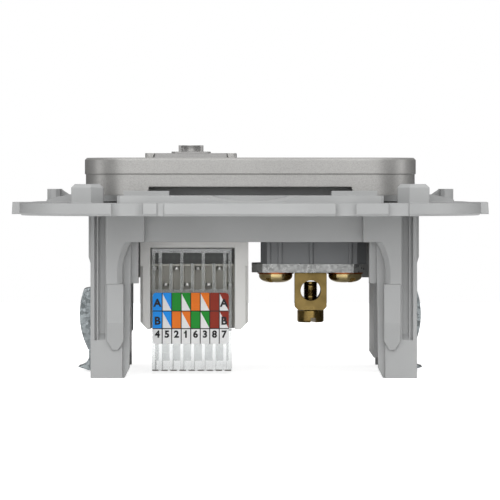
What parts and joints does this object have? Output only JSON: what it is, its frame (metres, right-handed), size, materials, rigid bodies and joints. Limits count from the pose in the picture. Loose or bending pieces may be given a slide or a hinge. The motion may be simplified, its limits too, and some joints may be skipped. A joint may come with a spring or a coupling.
{
  "type": "combined data and aerial wall socket",
  "caption": "Flush wall socket with a shuttered data outlet and an aerial outlet in a square satin cover, on a moulded support frame with expanding claws.",
  "frame": {"origin": "centre of the flange's rear face, in the wall plane", "axes": "+Z out of the wall through the cover, +X across the two claws, wiring side towards -Y"},
  "size_m": [0.071, 0.071, 0.0337],
  "materials": {
    "frame_grey": "fine moulded texture",
    "cover_silver": "satin metallic paint",
    "jack_white": "smooth moulding",
    "contact_gold": "gold plated",
    "board_green": "solder mask",
    "tinned_metal": "tinned",
    "clear_plastic": "clear moulding",
    "label_film": "printed film",
    "aerial_dark": "moulded",
    "nickel_plate": "nickel plated",
    "insulator_white": "moulded",
    "terminal_brass": "turned",
    "zinc_steel": "zinc plated",
    "gold_steel": "yellow passivated",
    "copper": "plain"
  },
  "bodies": {
    "socket": {"support_frame": "frame_grey", "cover_plate": "cover_silver", "jack_housing": "jack_white", "contact_carrier": "jack_white", "contact_springs": "contact_gold", "circuit_board": "board_green", "terminal_comb": "jack_white", "wire_forks": "tinned_metal", "aerial_body": "aerial_dark", "outer_sleeve": "nickel_plate", "insulator": "insulator_white", "centre_pin": "contact_gold", "terminal_block": "terminal_brass"},
    "shutter_leaf": {"shutter": "cover_silver"},
    "wiring_cap": {"wire_cap": "clear_plastic", "wiring_label": "label_film"},
    "terminal_screw_body": {"terminal_screw": "terminal_brass"},
    "clamp_plate_body": {"clamp_plate": "zinc_steel"},
    "clamp_screw_left_body": {"clamp_screw_left": "gold_steel", "clamp_washer_left": "copper"},
    "clamp_screw_right_body": {"clamp_screw_right": "gold_steel", "clamp_washer_right": "copper"},
    "claw_left_body": {"claw_left": "zinc_steel"},
    "claw_right_body": {"claw_right": "zinc_steel"},
    "claw_nut_left_body": {"claw_nut_left": "zinc_steel"},
    "claw_nut_right_body": {"claw_nut_right": "zinc_steel"},
    "claw_screw_left_body": {"claw_screw_left": "zinc_steel"},
    "claw_screw_right_body": {"claw_screw_right": "zinc_steel"}
  },
  "joints": [
    {"name": "shutter_slide", "type": "slide", "parent": "socket", "child": "shutter_leaf", "axis": [0, -1, 0], "range_m": [0, 0.0092]},
    {"name": "wiring_cap_pull", "type": "slide", "parent": "socket", "child": "wiring_cap", "axis": [0, -1, 0], "range_m": [0, 0.005]},
    {"name": "terminal_screw_travel", "type": "slide", "parent": "socket", "child": "terminal_screw_body", "axis": [0, 0, -1], "range_m": [0, 0.003]},
    {"name": "clamp_screw_left_travel", "type": "slide", "parent": "socket", "child": "clamp_screw_left_body", "axis": [0, 0, -1], "range_m": [0, 0.002]},
    {"name": "clamp_screw_right_travel", "type": "slide", "parent": "socket", "child": "clamp_screw_right_body", "axis": [0, 0, -1], "range_m": [0, 0.002]},
    {"name": "clamp_plate_travel", "type": "slide", "parent": "socket", "child": "clamp_plate_body", "axis": [0, 0, -1], "range_m": [0, 0.002]},
    {"name": "claw_screw_left_turn", "type": "hinge", "parent": "socket", "child": "claw_screw_left_body", "pos_m": [-0.0214, 0, 0], "axis": [0, 0, -1], "range_deg": [0, 4033]},
    {"name": "claw_nut_left_rise", "type": "slide", "parent": "socket", "child": "claw_nut_left_body", "axis": [0, 0, 1], "range_m": [0, 0.0056]},
    {"name": "claw_left_spread", "type": "slide", "parent": "socket", "child": "claw_left_body", "axis": [-0.342, 0, 0.9397], "range_m": [0, 0.00597]},
    {"name": "claw_screw_right_turn", "type": "hinge", "parent": "socket", "child": "claw_screw_right_body", "pos_m": [0.0214, 0, 0], "axis": [0, 0, -1], "range_deg": [0, 4033]},
    {"name": "claw_nut_right_rise", "type": "slide", "parent": "socket", "child": "claw_nut_right_body", "axis": [0, 0, 1], "range_m": [0, 0.0056]},
    {"name": "claw_right_spread", "type": "slide", "parent": "socket", "child": "claw_right_body", "axis": [0.342, 0, 0.9397], "range_m": [0, 0.00597]}
  ],
  "couplings": [
    {"joint": "clamp_screw_right_travel", "follows": "clamp_screw_left_travel", "ratio": 1},
    {"joint": "clamp_plate_travel", "follows": "clamp_screw_left_travel", "ratio": 1},
    {"joint": "claw_screw_left_turn", "follows": "claw_nut_left_rise", "rad_per_m": 12566},
    {"joint": "claw_left_spread", "follows": "claw_nut_left_rise", "ratio": 1.0642},
    {"joint": "claw_screw_right_turn", "follows": "claw_nut_right_rise", "rad_per_m": 12566},
    {"joint": "claw_right_spread", "follows": "claw_nut_right_rise", "ratio": 1.0642}
  ]
}
